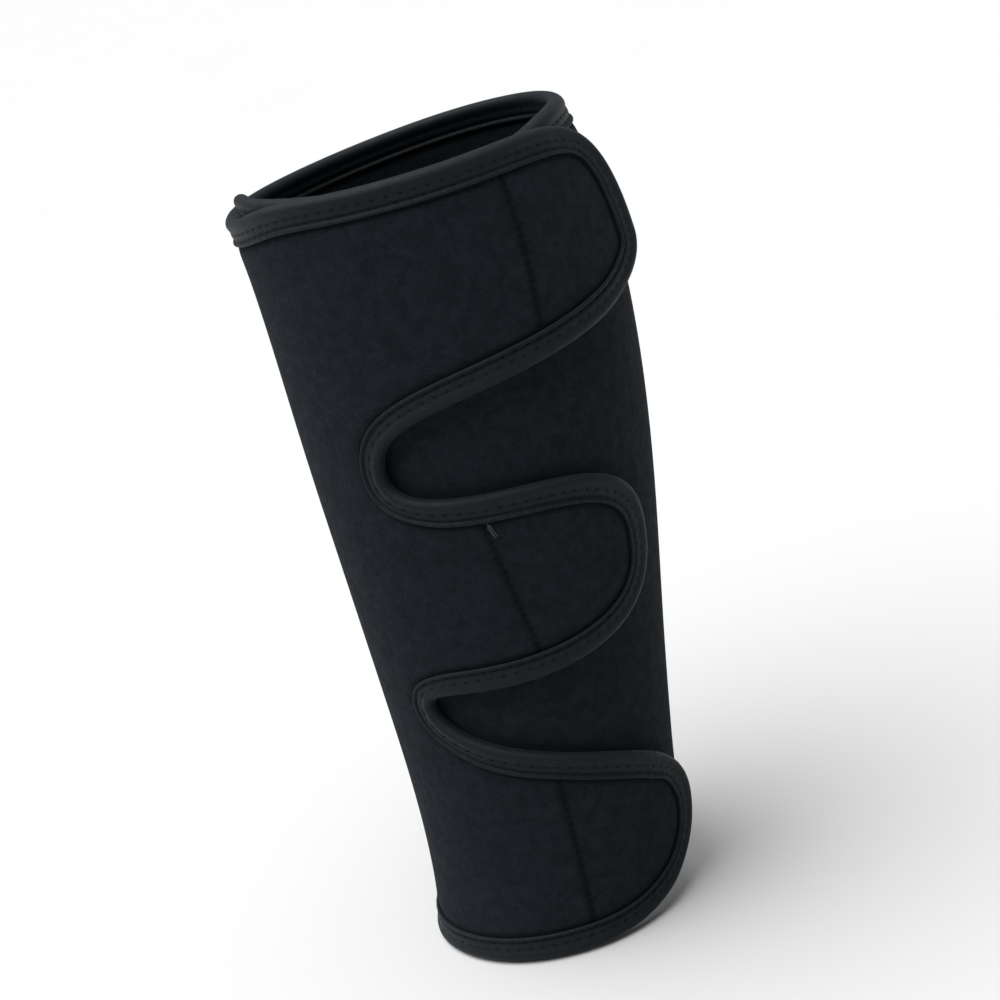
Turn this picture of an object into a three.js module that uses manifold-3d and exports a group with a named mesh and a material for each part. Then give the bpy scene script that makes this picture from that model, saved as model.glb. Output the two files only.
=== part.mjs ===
// Calf compression wrap: one neoprene panel wound about one and a half turns round the lower leg.
// Its outer end is cut as a wave into three tongues, tape binds its whole edge, and a hook patch is sewn
// behind each tongue. Millimetres. +Z runs up the leg, +X points to the calf muscle, and -Y is the side
// where the tongues close. The origin is the centre of the lower opening.

import * as THREE from 'three';
import { mergeVertices } from 'three/addons/utils/BufferGeometryUtils.js';
import Module from 'manifold-3d';

const wasm = await Module();
wasm.setup();

// Driving dimensions
const PANEL_HEIGHT = 310;
const PANEL_THICKNESS = 3;
const LAYER_GAP = 2.8; // between the overlapping layers, where the tape and the hook patches lie
const WINDING_DROP = 4.7; // how much lower the panel lies after each turn
const TAPE_WIDTH = 10.5;
const TAPE_THICKNESS = 0.55;
const TAPE_CHAMFER = 0.5;
const PATCH_THICKNESS = 1;
const SEWN_GAP = 0.45; // between pieces that are sewn together

// Angles round the leg in degrees, from +X towards +Y and on through the second turn
const INNER_END = 176;
const CLIMB = 80; // the stretch in which the panel rises over its own inner end
const OUTER_FRONT = 630; // the middle of the closing side, on the outer layer
const TANGENT = 680; // from here the tongues run straight on instead of round the leg

// The leg that the wrap fits: how far it reaches to the shin (-X) and to the calf (+X) at each height
const LEG = [
  { height: 0, shin: -46.5, calf: 46.5 },
  { height: 80, shin: -38.8, calf: 59.9 },
  { height: 160, shin: -37.9, calf: 76.3 },
  { height: 240, shin: -36, calf: 87.4 },
  { height: 310, shin: -36.8, calf: 80.6 },
];

// The wave cut: where each tongue or notch turns, and how far its curve runs straight down and up from there
const WAVE = {
  bottomTongue: { around: 694, height: 36, below: 22, above: 44 },
  lowerNotch: { around: 585, height: 112, below: 26, above: 16 },
  middleTongue: { around: 678, height: 152, below: 50, above: 62 },
  upperNotch: { around: 592, height: 208, below: 30, above: 37 },
  topTongue: { around: 698, height: 262, below: 37, above: 44 },
};

// Where the level edges turn into the outer tongues, with the length of the curve's level start
const TOP_TURN = { around: 650, level: 42 };
const BOTTOM_TURN = { around: 634, level: 37 };

// How far the upper edge lies below the panel's full height
const UPPER_EDGE = [
  { around: 600, dip: 0 }, // closing side
  { around: 535, dip: 8 }, // shin, on the outer layer
  { around: 345, dip: 3 }, // calf, on the inner layer
  { around: 290, dip: 7.5 }, // closing side, on the inner layer
  { around: 191, dip: 4.5 }, // inner end
];

// The lower edge falls this far at the shin and rises as far at the bottom tongue
const LOWER_TILT = 1.4;

// The lower edge rises towards the inner end, which lies hidden under the outer layer
const RISE = { from: 540, to: 340, height: 26, level: 70 };
const END_CORNER = 15;

// The hook patches: the seam's upper and lower end, the patch's nose, and how far the curves run straight
const PATCHES = [
  { name: 'hook_patch_top', head: [656, 294], foot: [651, 248], nose: [687, 268], along: 26, across: 11 },
  { name: 'hook_patch_middle', head: [621, 182], foot: [630, 132], nose: [667, 155], along: 26, across: 13 },
  { name: 'hook_patch_bottom', head: [629, 68], foot: [634, 14], nose: [681, 39], along: 18, across: 8 },
];

// Facets, and the blank and cutter that the sheets are cut with
const COLUMN = 8; // degrees
const ROW = 22;
const CURVE_STEPS = 11;
const BLANK_MARGIN = 3;
const BLANK_DISH = 0.0007; // times the squared distance from its middle
const CUTTER_DEPTH = 400;

// A pattern is drawn flat, with degrees round the leg across it: on this radius a degree is a millimetre
const PATTERN_RADIUS = 180 / Math.PI;

const MATERIALS = {
  panel: new THREE.MeshStandardMaterial({ color: 0x15171a, roughness: 0.95, metalness: 0 }),
  tape: new THREE.MeshStandardMaterial({ color: 0x1e2124, roughness: 0.85, metalness: 0 }),
  hooks: new THREE.MeshStandardMaterial({ color: 0x0e0f10, roughness: 0.7, metalness: 0 }),
};

// The leg's reach at any height, on the smooth curve through the sections
function legReach(side, z) {
  let reach = 0;
  for (const section of LEG) {
    let weight = 1;
    for (const other of LEG) {
      if (other !== section) weight *= (z - other.height) / (section.height - other.height);
    }
    reach += weight * section[side];
  }
  return reach;
}

function legAt(z) {
  const shin = legReach('shin', z);
  const calf = legReach('calf', z);
  return { centre: (shin + calf) / 2, radius: (calf - shin) / 2 };
}

// Where a point of the flat pattern lies on the leg; lift is its distance out from the panel's middle
function worn(around, height, lift) {
  const z = height + (WINDING_DROP * (OUTER_FRONT - around)) / 360;
  const leg = legAt(z);
  const overlap = INNER_END + 360;
  const climb = THREE.MathUtils.smoothstep(around, overlap - CLIMB, overlap);
  const round = leg.radius + PANEL_THICKNESS / 2 + (PANEL_THICKNESS + LAYER_GAP) * climb;
  const beyond = THREE.MathUtils.degToRad(Math.max(around - TANGENT, 0));
  const out = round / Math.cos(beyond) + lift;
  const angle = THREE.MathUtils.degToRad(around);
  return new THREE.Vector3(leg.centre + out * Math.cos(angle), out * Math.sin(angle), z);
}

// The panel's flat outline, anticlockwise from the inner end of the lower edge
function panelOutline() {
  const shape = new THREE.Shape();
  const turns = Object.values(WAVE);
  const first = WAVE.bottomTongue;
  const last = WAVE.topTongue;
  shape.moveTo(INNER_END + END_CORNER, RISE.height);
  shape.lineTo(RISE.to, RISE.height);
  shape.bezierCurveTo(RISE.to + RISE.level, RISE.height,
    RISE.from - RISE.level, -LOWER_TILT, RISE.from, -LOWER_TILT);
  shape.lineTo(BOTTOM_TURN.around, LOWER_TILT);
  shape.bezierCurveTo(BOTTOM_TURN.around + BOTTOM_TURN.level, LOWER_TILT,
    first.around, first.height - first.below, first.around, first.height);
  for (let i = 1; i < turns.length; i += 1) {
    const from = turns[i - 1];
    const to = turns[i];
    shape.bezierCurveTo(from.around, from.height + from.above,
      to.around, to.height - to.below, to.around, to.height);
  }
  shape.bezierCurveTo(last.around, last.height + last.above,
    TOP_TURN.around + TOP_TURN.level, PANEL_HEIGHT, TOP_TURN.around, PANEL_HEIGHT);
  shape.lineTo(UPPER_EDGE[0].around, PANEL_HEIGHT - UPPER_EDGE[0].dip);
  for (let i = 1; i < UPPER_EDGE.length; i += 1) {
    const from = UPPER_EDGE[i - 1];
    const to = UPPER_EDGE[i];
    const middle = (from.around + to.around) / 2;
    shape.bezierCurveTo(middle, PANEL_HEIGHT - from.dip,
      middle, PANEL_HEIGHT - to.dip, to.around, PANEL_HEIGHT - to.dip);
  }
  const endTop = PANEL_HEIGHT - UPPER_EDGE.at(-1).dip;
  shape.quadraticCurveTo(INNER_END, endTop, INNER_END, endTop - END_CORNER);
  shape.lineTo(INNER_END, RISE.height + END_CORNER);
  shape.quadraticCurveTo(INNER_END, RISE.height, INNER_END + END_CORNER, RISE.height);
  return openPoints(shape);
}

// A hook patch's flat outline: straight along its seam, round at the tongue's end
function patchOutline({ head, foot, nose, along, across }) {
  const shape = new THREE.Shape();
  shape.moveTo(...foot);
  shape.bezierCurveTo(foot[0] + along, foot[1], nose[0], nose[1] - across, ...nose);
  shape.bezierCurveTo(nose[0], nose[1] + across, head[0] + along, head[1], ...head);
  shape.lineTo(...foot);
  return openPoints(shape);
}

// An outline's points without the last, which repeats the first
function openPoints(shape) {
  const points = shape.getPoints(CURVE_STEPS);
  points.pop();
  return points;
}

function reshape(geometry, move) {
  const position = geometry.getAttribute('position');
  const point = new THREE.Vector3();
  for (let i = 0; i < position.count; i += 1) {
    point.fromBufferAttribute(position, i);
    position.setXYZ(i, ...move(point.x, point.y, point.z).toArray());
  }
  return geometry;
}

function toSolid(geometry) {
  const bare = geometry.clone();
  bare.deleteAttribute('normal');
  bare.deleteAttribute('uv');
  const merged = mergeVertices(bare);
  const vertProperties = new Float32Array(merged.getAttribute('position').array);
  const triVerts = new Uint32Array(merged.getIndex().array);
  return new wasm.Manifold(new wasm.Mesh({ numProp: 3, vertProperties, triVerts }));
}

function toGeometry(solid) {
  const mesh = solid.getMesh();
  const geometry = new THREE.BufferGeometry();
  geometry.setAttribute('position', new THREE.BufferAttribute(mesh.vertProperties, mesh.numProp));
  geometry.setIndex(new THREE.BufferAttribute(mesh.triVerts, 1));
  return geometry;
}

// A sheet cut from a flat blank and wound round the leg, from one lift to another.
// The blank is dished while it is cut: no two facets then lie in one plane, and all are kept to bend later.
function wornSheet(outline, inside, outside) {
  const box = new THREE.Box2().setFromPoints(outline).expandByScalar(BLANK_MARGIN);
  const size = box.getSize(new THREE.Vector2());
  const middle = box.getCenter(new THREE.Vector2());
  const dish = (x, y) => BLANK_DISH * ((x - middle.x) ** 2 + (y - middle.y) ** 2);
  const columns = Math.ceil(size.x / COLUMN);
  const rows = Math.ceil(size.y / ROW);
  const blank = new THREE.BoxGeometry(size.x, size.y, outside - inside, columns, rows, 1);
  blank.translate(middle.x, middle.y, (inside + outside) / 2);
  reshape(blank, (x, y, z) => new THREE.Vector3(x, y, z + dish(x, y)));
  const cutterOptions = { depth: CUTTER_DEPTH, bevelEnabled: false };
  const cutter = new THREE.ExtrudeGeometry(new THREE.Shape(outline), cutterOptions);
  cutter.translate(0, 0, -CUTTER_DEPTH / 2);
  const cut = toGeometry(toSolid(blank).intersect(toSolid(cutter)));
  return reshape(cut, (x, y, z) => worn(x, y, z - dish(x, y)));
}

// The outline with its long straight stretches divided, so that the tape on them can bend
function divided(outline) {
  return outline.flatMap((point, i) => {
    const next = outline[(i + 1) % outline.length];
    const columns = Math.abs(next.x - point.x) / COLUMN;
    const rows = Math.abs(next.y - point.y) / ROW;
    const steps = Math.max(1, Math.round(columns), Math.round(rows));
    return Array.from({ length: steps }, (_, step) => point.clone().lerp(next, step / steps));
  });
}

// The tape's section: how far in from the panel's edge, and how far out from its middle
function tapeSection() {
  const inner = PANEL_THICKNESS / 2 + SEWN_GAP;
  const outer = inner + TAPE_THICKNESS;
  const nose = -SEWN_GAP - TAPE_THICKNESS;
  const hem = nose + TAPE_WIDTH;
  const half = [
    { inset: nose, lift: outer - TAPE_CHAMFER },
    { inset: nose + TAPE_CHAMFER, lift: outer },
    { inset: hem, lift: outer },
    { inset: hem, lift: inner },
    { inset: -SEWN_GAP, lift: inner },
  ];
  const mirrored = half.map(({ inset, lift }) => ({ inset, lift: -lift })).reverse();
  return [...half, ...mirrored];
}

// The binding tape, its section carried along the outline and wound round the leg with the panel
function wornTape(outline) {
  const path = divided(outline);
  const section = tapeSection();
  const positions = [];
  path.forEach((point, i) => {
    const before = path.at(i - 1);
    const after = path[(i + 1) % path.length];
    const stretch = legAt(point.y).radius / PATTERN_RADIUS;
    const inward = new THREE.Vector2(before.y - after.y, (after.x - before.x) * stretch).normalize();
    for (const { inset, lift } of section) {
      const around = point.x + (inset * inward.x) / stretch;
      const height = point.y + inset * inward.y;
      positions.push(...worn(around, height, lift).toArray());
    }
  });
  const rise = (a, b) => Math.abs(positions[3 * a + 2] - positions[3 * b + 2]);
  const index = [];
  for (let i = 0; i < path.length; i += 1) {
    const here = i * section.length;
    const there = ((i + 1) % path.length) * section.length;
    for (let j = 0; j < section.length; j += 1) {
      const k = (j + 1) % section.length;
      const [a, b, c, d] = [here + j, there + j, there + k, here + k];
      // The steeper diagonal stays closer to the round leg
      if (rise(a, c) > rise(b, d)) index.push(a, b, c, a, c, d);
      else index.push(a, b, d, b, c, d);
    }
  }
  const geometry = new THREE.BufferGeometry();
  geometry.setAttribute('position', new THREE.Float32BufferAttribute(positions, 3));
  geometry.setIndex(index);
  return geometry;
}

function piece(name, geometry, material) {
  geometry.computeVertexNormals();
  const mesh = new THREE.Mesh(geometry, material);
  mesh.name = name;
  return mesh;
}

const wrap = new THREE.Group();
const outline = panelOutline();
const panelFace = PANEL_THICKNESS / 2;
wrap.add(piece('wrap_panel', wornSheet(outline, -panelFace, panelFace), MATERIALS.panel));
wrap.add(piece('edge_binding', wornTape(outline), MATERIALS.tape));
for (const patch of PATCHES) {
  const back = -panelFace - SEWN_GAP;
  const sheet = wornSheet(patchOutline(patch), back - PATCH_THICKNESS, back);
  wrap.add(piece(patch.name, sheet, MATERIALS.hooks));
}

export default wrap;
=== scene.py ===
"""A calf compression wrap in its worn form.

A neoprene panel is wound about one and a half turns round the lower leg. Its outer end is cut as a wave
into three tongues, with a hook tape sewn behind each. Tape binds the whole edge with a zigzag stitch.
Metres and degrees. +Z runs up the leg, +X points to the calf and -Y is the side where the tongues close.
"""

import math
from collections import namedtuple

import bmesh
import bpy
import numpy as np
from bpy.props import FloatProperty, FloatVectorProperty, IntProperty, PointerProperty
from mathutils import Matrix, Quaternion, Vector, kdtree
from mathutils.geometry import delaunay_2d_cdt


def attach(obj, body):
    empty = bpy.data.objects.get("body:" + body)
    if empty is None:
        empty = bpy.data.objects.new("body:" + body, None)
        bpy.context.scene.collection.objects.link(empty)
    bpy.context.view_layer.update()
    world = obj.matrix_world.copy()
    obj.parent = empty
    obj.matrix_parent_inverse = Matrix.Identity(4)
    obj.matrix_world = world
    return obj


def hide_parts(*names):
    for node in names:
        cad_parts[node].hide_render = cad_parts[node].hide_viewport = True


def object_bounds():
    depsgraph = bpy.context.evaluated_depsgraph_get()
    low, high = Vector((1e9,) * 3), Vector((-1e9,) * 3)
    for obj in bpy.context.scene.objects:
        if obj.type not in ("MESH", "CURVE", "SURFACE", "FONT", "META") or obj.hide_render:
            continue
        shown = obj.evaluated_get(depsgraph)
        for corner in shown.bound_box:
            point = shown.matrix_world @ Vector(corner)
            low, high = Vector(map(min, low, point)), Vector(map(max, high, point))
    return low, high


bl_info = {
    "name": "Calf Compression Wrap",
    "version": (1, 0, 0),
    "blender": (4, 5, 0),
    "location": "View3D > Sidebar > Calf Wrap",
    "description": "Builds a worn neoprene calf wrap with bound edges, stitching and hook tapes",
    "category": "Object",
}

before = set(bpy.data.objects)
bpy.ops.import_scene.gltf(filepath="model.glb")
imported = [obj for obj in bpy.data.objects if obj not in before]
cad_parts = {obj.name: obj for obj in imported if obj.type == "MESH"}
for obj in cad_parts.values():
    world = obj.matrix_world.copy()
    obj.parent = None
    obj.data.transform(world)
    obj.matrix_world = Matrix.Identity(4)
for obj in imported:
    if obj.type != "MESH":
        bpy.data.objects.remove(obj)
CAD_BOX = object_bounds()

# Angles round the leg in degrees, from +X towards +Y and on through the second turn
INNER_END = 176
CLIMB = 80  # the stretch in which the panel rises over its own inner end
OUTER_FRONT = 630  # the middle of the closing side, on the outer layer
TANGENT = 680  # from here the tongues run straight on instead of round the leg
FULL_TURN = 360

# The leg that the wrap fits: how far it reaches to the shin and to the calf at each height
LegSection = namedtuple("LegSection", "height shin calf")
LEG = (
    LegSection(0.0, -0.0465, 0.0465),
    LegSection(0.08, -0.0388, 0.0599),
    LegSection(0.16, -0.0379, 0.0763),
    LegSection(0.24, -0.0360, 0.0874),
    LegSection(0.31, -0.0368, 0.0806),
)

# The wave cut: where each tongue or notch turns, and how far its curve runs straight down and up from there
Turn = namedtuple("Turn", "around height below above")
WAVE = (
    Turn(694, 0.036, 0.022, 0.044),  # bottom tongue
    Turn(585, 0.112, 0.026, 0.016),  # lower notch
    Turn(678, 0.152, 0.050, 0.062),  # middle tongue
    Turn(592, 0.208, 0.030, 0.037),  # upper notch
    Turn(698, 0.262, 0.037, 0.044),  # top tongue
)

# Where the level edges turn into the outer tongues, with the length of the curve's level start
LevelTurn = namedtuple("LevelTurn", "around level")
TOP_TURN = LevelTurn(650, 42)
BOTTOM_TURN = LevelTurn(634, 37)

# The upper edge from the top tongue to the inner end: how far it dips below the panel's full height
Dip = namedtuple("Dip", "around depth")
UPPER_EDGE = (
    Dip(600, 0.0),  # the closing side
    Dip(535, 0.008),  # the shin, on the outer layer
    Dip(345, 0.003),  # the calf, on the inner layer
    Dip(290, 0.0075),  # the closing side, on the inner layer
    Dip(191, 0.0045),  # the inner end
)

# The lower edge falls this far at the shin and rises as far at the bottom tongue
LOWER_TILT = 0.0014

# The lower edge rises towards the inner end, whose corners are round
Rise = namedtuple("Rise", "start end height level")
RISE = Rise(340, 540, 0.026, 70)
END_CORNER = (15, 0.015)

# The hook tapes: the seam's upper and lower end, the tape's nose, and how far its curves run straight
HookTape = namedtuple("HookTape", "name node head foot nose along across")
HOOK_TAPES = (
    HookTape("hook_tape_top", "hook_patch_top", (656, 0.294), (651, 0.248), (687, 0.268), 26, 0.011),
    HookTape("hook_tape_middle", "hook_patch_middle", (621, 0.182), (630, 0.132), (667, 0.155), 26, 0.013),
    HookTape("hook_tape_bottom", "hook_patch_bottom", (629, 0.068), (634, 0.014), (681, 0.039), 18, 0.008),
)

# The seams that hold the hook tapes, from binding to binding
Seam = namedtuple("Seam", "head foot")
SEAMS = (
    Seam((654.8, 0.3003), (650.3, 0.2440)),
    Seam((620.3, 0.1850), (630.6, 0.1290)),
    Seam((629.3, 0.0735), (634.2, 0.0095)),
)

# The strands of the loose thread end
LOOSE_STRANDS = (
    Seam((622.0, 0.1835), (623.7, 0.1772)),
    Seam((622.6, 0.1828), (624.3, 0.1777)),
    Seam((621.8, 0.1822), (623.2, 0.1783)),
)

# In a notch the tape is stretched and lies narrower
NOTCH_PULL = 0.15  # by this share
NOTCH_RADIUS = 0.02  # where the edge bends at least this sharply
NOTCH_REACH = 0.006  # evened out this far along it

# Soft unevenness of the worn cloth: waves in radians a degree round and a metre up, with their share
Ripple = namedtuple("Ripple", "around height share phase")
RIPPLES = (
    Ripple(0.047, 31, 0.5, 0.4),
    Ripple(-0.081, 57, 0.3, 1.9),
    Ripple(0.143, -22, 0.2, 4.1),
)

# The panel's half thickness from its edge inwards, pressed down under the tape and full beside it
Hem = namedtuple("Hem", "inset half")
HEM = (
    Hem(0.0000, 0.00115),
    Hem(0.0042, 0.00122),
    Hem(0.0072, 0.00104),
    Hem(0.0090, 0.00112),
    Hem(0.0098, 0.00112),
    Hem(0.0105, 0.00126),
    Hem(0.0115, 0.00147),
    Hem(0.0129, 0.00161),
    Hem(0.0149, 0.00165),
    Hem(0.0175, 0.00160),
    Hem(0.0205, 0.00154),
    Hem(0.0243, 0.00150),
)

# Half of the folded tape's section, from the nose over the outer face to the lip and back underneath: inset
# from the panel's edge, lift from its middle, the pit that the stitch pulls every fourth step (also painted
# as shade), the step that the pit is on, and how dark the shade painted in the stitch's hollow is
SectionPoint = namedtuple("SectionPoint", "inset lift pit phase valley", defaults=(0, 0, 0))
FIRST_ROW = SectionPoint(0.00435, 0.00222, 0.00040, 0, 0.2)
SECOND_ROW = SectionPoint(0.0073, 0.00160, 0.00018, 2, 0.55)
LIP = SectionPoint(0.0093, 0.00185)
TAPE_SECTION = tuple(SectionPoint(*row) for row in (
    (-0.00100, 0.00000),
    (-0.00088, 0.00085),
    (-0.00050, 0.00165),
    (0.00015, 0.00234),
    (0.00095, 0.00275),
    (0.00175, 0.00288),
    (0.00255, 0.00276),
    (0.00320, 0.00250),
    (0.00375, 0.00230),
    (0.00405, 0.00225, 0.00016),
    FIRST_ROW,
    (0.00465, 0.00224, 0.00016),
    (0.00530, 0.00228),
    (0.00600, 0.00222),
    (0.00650, 0.00204, 0, 0, 0.1),
    (0.00695, 0.00174, 0.00010, 2, 0.4),
    SECOND_ROW,
    (0.00762, 0.00174, 0.00012, 2, 0.4),
    (0.00792, 0.00220, 0.00014, 2, 0.1),
    (0.00828, 0.00256, 0.00014, 2),
    (0.00868, 0.00264, 0.00012, 2),
    (0.00903, 0.00252, 0.00008, 2),
    (0.00926, 0.00220),
    LIP,
    (0.00916, 0.00150),
    (0.00860, 0.00136),
    (0.00730, 0.00120),
    (0.00590, 0.00136),
    (0.00220, 0.00160),
    (0.00000, 0.00130),
    (-0.00040, 0.00000),
))
STEPS_PER_ZIGZAG = 4

# The line of painted shade on the cloth beside the tape's lip, where its groove lies: how far past the lip
# its middle lies, and how far it fades
HEM_SHADE_MIDDLE = 0.0003
HEM_SHADE_REACH = 0.0016

# The seam's groove across: distance from the stitch line, and how deep the cloth is pulled there, which is
# also how much shade is painted there
Groove = namedtuple("Groove", "aside share")
SEAM_GROOVE = (
    Groove(0.0, 1.0),
    Groove(0.0006, 0.85),
    Groove(0.0013, 0.38),
    Groove(0.0025, 0.08),
    Groove(0.0042, 0.0),
)
STEPS_PER_STITCH = 4
HOLE_SPAN = 0.6  # the share of the groove's depth that is left between two needle holes
STITCH_SPAN = (0.1, 0.9)  # the part of a seam's stitch that lies above the cloth

# How far the ends of a stitch sink into the cloth, how high its handles rise, and where on its half they are
Bow = namedtuple("Bow", "sink rise")
BINDING_BOW = Bow(0.00030, 0.00020)
SEAM_BOW = Bow(0.00030, 0.00022)
LOOSE_BOW = Bow(0.0, 0.0004)
STITCH_HANDLE = 0.4

# A hook's foot, its two handles and its tip, in shares of its height
Bend = namedtuple("Bend", "along up")
HOOK_BEND = (Bend(0.0, 0.0), Bend(0.0, 1.35), Bend(0.55, 1.25), Bend(0.5, 0.55))
SEWN_GAP = 0.0001  # between a hook tape and the panel

CURVE_STEPS = 120  # points on each curve of an outline

# How the panel's mesh points keep apart: a ring's share of its inset to the edge, and shares of a step
RING_TO_EDGE = 0.7
RING_TO_SEAM = 0.4
GRID_TO_SEAM = 0.7
GRID_TO_RING = 0.6
EDGE_DIVISION = 4  # how many times finer the edge is divided that they are measured from
WELD = 1e-7  # points as near as this are one

# Facets of threads and hooks
WIRE_STEPS = 6
THREAD_SIDES = 5
HOOK_SIDES = 4

# The brushed nap: the fine noise's share of the mottle, the range that is spread, and the depth of its loops
FINE_SHARE = 0.45
MOTTLE_RANGE = (0.36, 0.66)
LOOP_DEPTH = 0.5
RIB_SHARE = 0.35  # of the tape's ribs in its weave
RIB_RELIEF = 0.5  # of the ribs beside the nap, in the tape's relief

FLOOR_REACH = 30


def length(name, description, default):
    return FloatProperty(name=name, description=description, default=default, precision=5, unit="LENGTH")


def colour(name, description, default):
    return FloatVectorProperty(
        name=name, description=description, default=default, size=4, min=0, max=1, subtype="COLOR"
    )


def angle(name, description, degrees):
    return FloatProperty(name=name, description=description, default=math.radians(degrees), subtype="ANGLE")


class WrapSizes(bpy.types.PropertyGroup):
    """Sizes of the wrap's pieces"""

    panel_height: length("Panel Height", "Height of the flat panel", 0.310)
    panel_thickness: length("Panel Thickness", "Thickness of the neoprene", 0.003)
    layer_gap: length("Layer Gap", "Room between the overlapping layers", 0.0028)
    winding_drop: length("Winding Drop", "How much lower the panel lies after each turn", 0.0047)
    ripple: length("Ripple", "Soft unevenness of the worn cloth", 0.0003)
    cloth_step: length("Cloth Step", "Spacing of the panel's mesh points", 0.0026)
    tape_step: length("Tape Step", "A quarter of one zigzag of the binding's stitch", 0.0012)
    thread: length("Thread", "Thickness of the sewing thread", 0.00042)
    seam_stitch: length("Seam Stitch", "Length of a stitch of the straight seams", 0.0032)
    seam_depth: length("Seam Depth", "How deep a seam pulls the cloth in", 0.0007)
    hook_backing: length("Hook Backing", "Thickness of the hook tape's backing", 0.0006)
    hook_pitch: length("Hook Pitch", "Spacing of the hooks", 0.0018)
    hook_height: length("Hook Height", "Height of a hook above its backing", 0.0013)
    hook_wire: length("Hook Wire", "Thickness of a hook", 0.00022)
    unevenness: FloatProperty(
        name="Unevenness", description="How much stitches and hooks differ", default=0.18, subtype="FACTOR"
    )
    seed: IntProperty(name="Seed", description="Seed of the differences", default=7)


class WrapColours(bpy.types.PropertyGroup):
    """Colours of the wrap's finishes and of the stage"""

    neoprene: colour("Neoprene", "Ground of the brushed knit", (0.0057, 0.0078, 0.0099, 1))
    nap: colour("Nap", "Lighter tips of the brushed loops", (0.0101, 0.0132, 0.0167, 1))
    # Painted shade: a dark colour painted into the grooves beside the hems, along the seams, between the
    # stitch rows and in the needle holes
    pressed: colour("Pressed", "Cloth pulled in under a stitch or hem", (0.0020, 0.0028, 0.0035, 1))
    tape: colour("Tape", "Ground of the binding tape", (0.0053, 0.0077, 0.0099, 1))
    tape_ridge: colour("Tape Ridge", "Raised ribs of the binding tape", (0.0080, 0.0110, 0.0139, 1))
    thread: colour("Thread", "Sewing thread", (0.0022, 0.0029, 0.0037, 1))
    thread_end: colour("Thread End", "Loose end of the seam's thread", (0.040, 0.044, 0.048, 1))
    hooks: colour("Hooks", "Moulded nylon of the hook tapes", (0.0110, 0.0118, 0.0128, 1))
    lint: colour("Lint", "Flecks of lint caught in the nap", (0.10, 0.11, 0.12, 1))
    floor: colour("Floor", "Pale floor", (0.50, 0.50, 0.50, 1))
    sky: colour("Sky", "Light from all round", (0.96, 0.98, 1, 1))


class WrapStage(bpy.types.PropertyGroup):
    """Camera and light"""

    target: FloatVectorProperty(
        name="Target", description="Point that the camera is turned round",
        default=(0.0115, 0, 0.155), subtype="TRANSLATION", unit="LENGTH",
    )
    distance: length("Distance", "From the target to the camera", 0.85)
    elevation: angle("Elevation", "Of the camera above the horizon", 19.25)
    roll: angle("Roll", "Of the camera about its own axis", -17.5)
    lens: FloatProperty(name="Lens", description="Focal length in millimetres", default=78.6)
    shift: FloatVectorProperty(
        name="Shift", description="Of the picture across and up, in frame widths",
        default=(0.0106, 0.037), size=2,
    )
    sky: FloatProperty(name="Sky", description="Strength of the light from all round", default=0.25)
    key: FloatProperty(name="Key", description="Strength of the broad light from above", default=5.8)
    key_width: angle("Key Width", "Angle across the broad light", 70)
    key_way: FloatVectorProperty(
        name="Key Way", description="The way the broad light shines",
        default=(0.27, 0.06, -0.96), subtype="DIRECTION",
    )


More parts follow.
